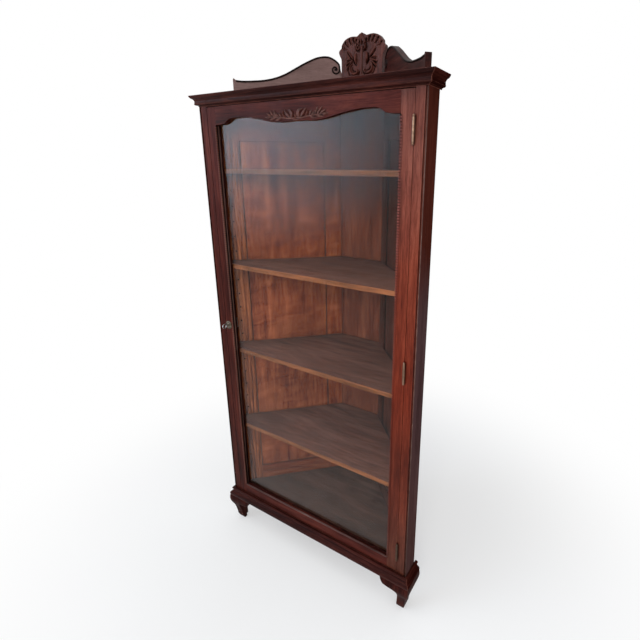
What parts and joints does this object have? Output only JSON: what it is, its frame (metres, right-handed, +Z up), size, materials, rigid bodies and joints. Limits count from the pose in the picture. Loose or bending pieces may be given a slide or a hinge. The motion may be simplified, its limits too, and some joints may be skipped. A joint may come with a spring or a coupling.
{
  "type": "corner curio cabinet",
  "caption": "Tall glazed corner display cabinet with a lockable hinged door, pinned loose shelves, bracket feet, a moulded cornice and a carved crest over scrolled gallery boards.",
  "frame": {"origin": "on the floor, under the centre of the bounding box", "axes": "+Z up, +X to the right of a person facing the door, -Y out of the door towards that person"},
  "size_m": [0.9554, 0.454, 2.124],
  "materials": {
    "mahogany": "aged dark red-brown polish",
    "oak": "stained and waxed",
    "glass": "clear polished",
    "brass": "aged",
    "steel": "dull, worn"
  },
  "bodies": {
    "carcass": {"back_board": "oak", "base_moulding_front": "mahogany", "base_moulding_return_left": "mahogany", "base_moulding_return_right": "mahogany", "bottom_board": "oak", "cornice_front": "mahogany", "cornice_return_left": "mahogany", "cornice_return_right": "mahogany", "crest": "mahogany", "front_bottom_rail": "mahogany", "front_foot_left": "mahogany", "front_foot_right": "mahogany", "front_stile_left": "mahogany", "front_stile_right": "mahogany", "front_top_rail": "mahogany", "gallery_left": "mahogany", "gallery_right": "mahogany", "hinge_frame_bottom": "brass", "hinge_frame_middle": "brass", "hinge_frame_top": "brass", "rear_foot": "mahogany", "shelf_1": "oak", "shelf_2": "oak", "shelf_3": "oak", "shelf_4": "oak", "shelf_pin_1_left": "brass", "shelf_pin_1_right": "brass", "shelf_pin_2_left": "brass", "shelf_pin_2_right": "brass", "shelf_pin_3_left": "brass", "shelf_pin_3_right": "brass", "shelf_pin_4_left": "brass", "shelf_pin_4_right": "brass", "side_board_left": "mahogany", "side_board_right": "mahogany", "top_board": "mahogany", "wall_bottom_rail_left": "oak", "wall_bottom_rail_right": "oak", "wall_front_stile_left": "oak", "wall_front_stile_right": "oak", "wall_panel_left": "oak", "wall_panel_right": "oak", "wall_rear_stile_left": "oak", "wall_rear_stile_right": "oak", "wall_top_rail_left": "oak", "wall_top_rail_right": "oak"},
    "door": {"door_stile_left": "mahogany", "door_stile_right": "mahogany", "door_top_rail": "mahogany", "door_bottom_rail": "mahogany", "glass_pane": "glass", "glazing_bead": "mahogany", "door_carving": "mahogany", "lock_rosette": "brass", "lock_case": "steel", "hinge_door_bottom": "brass", "hinge_door_middle": "brass", "hinge_door_top": "brass"},
    "bolt": {"lock_bolt": "brass"},
    "key": {"key": "steel"}
  },
  "joints": [
    {"name": "door_hinge", "type": "hinge", "parent": "carcass", "child": "door", "pos_m": [0.4145, -0.1995, 1.00941], "axis": [0, 0, 1], "range_deg": [0, 120]},
    {"name": "key_turn", "type": "hinge", "parent": "door", "child": "key", "pos_m": [-0.397, -0.194, 1.01275], "axis": [0, -1, 0], "range_deg": [0, 180]},
    {"name": "bolt_slide", "type": "slide", "parent": "door", "child": "bolt", "axis": [-1, 0, 0], "range_m": [0, 0.012]}
  ],
  "couplings": [
    {"joint": "key_turn", "follows": "bolt_slide", "rad_per_m": 261.8}
  ]
}
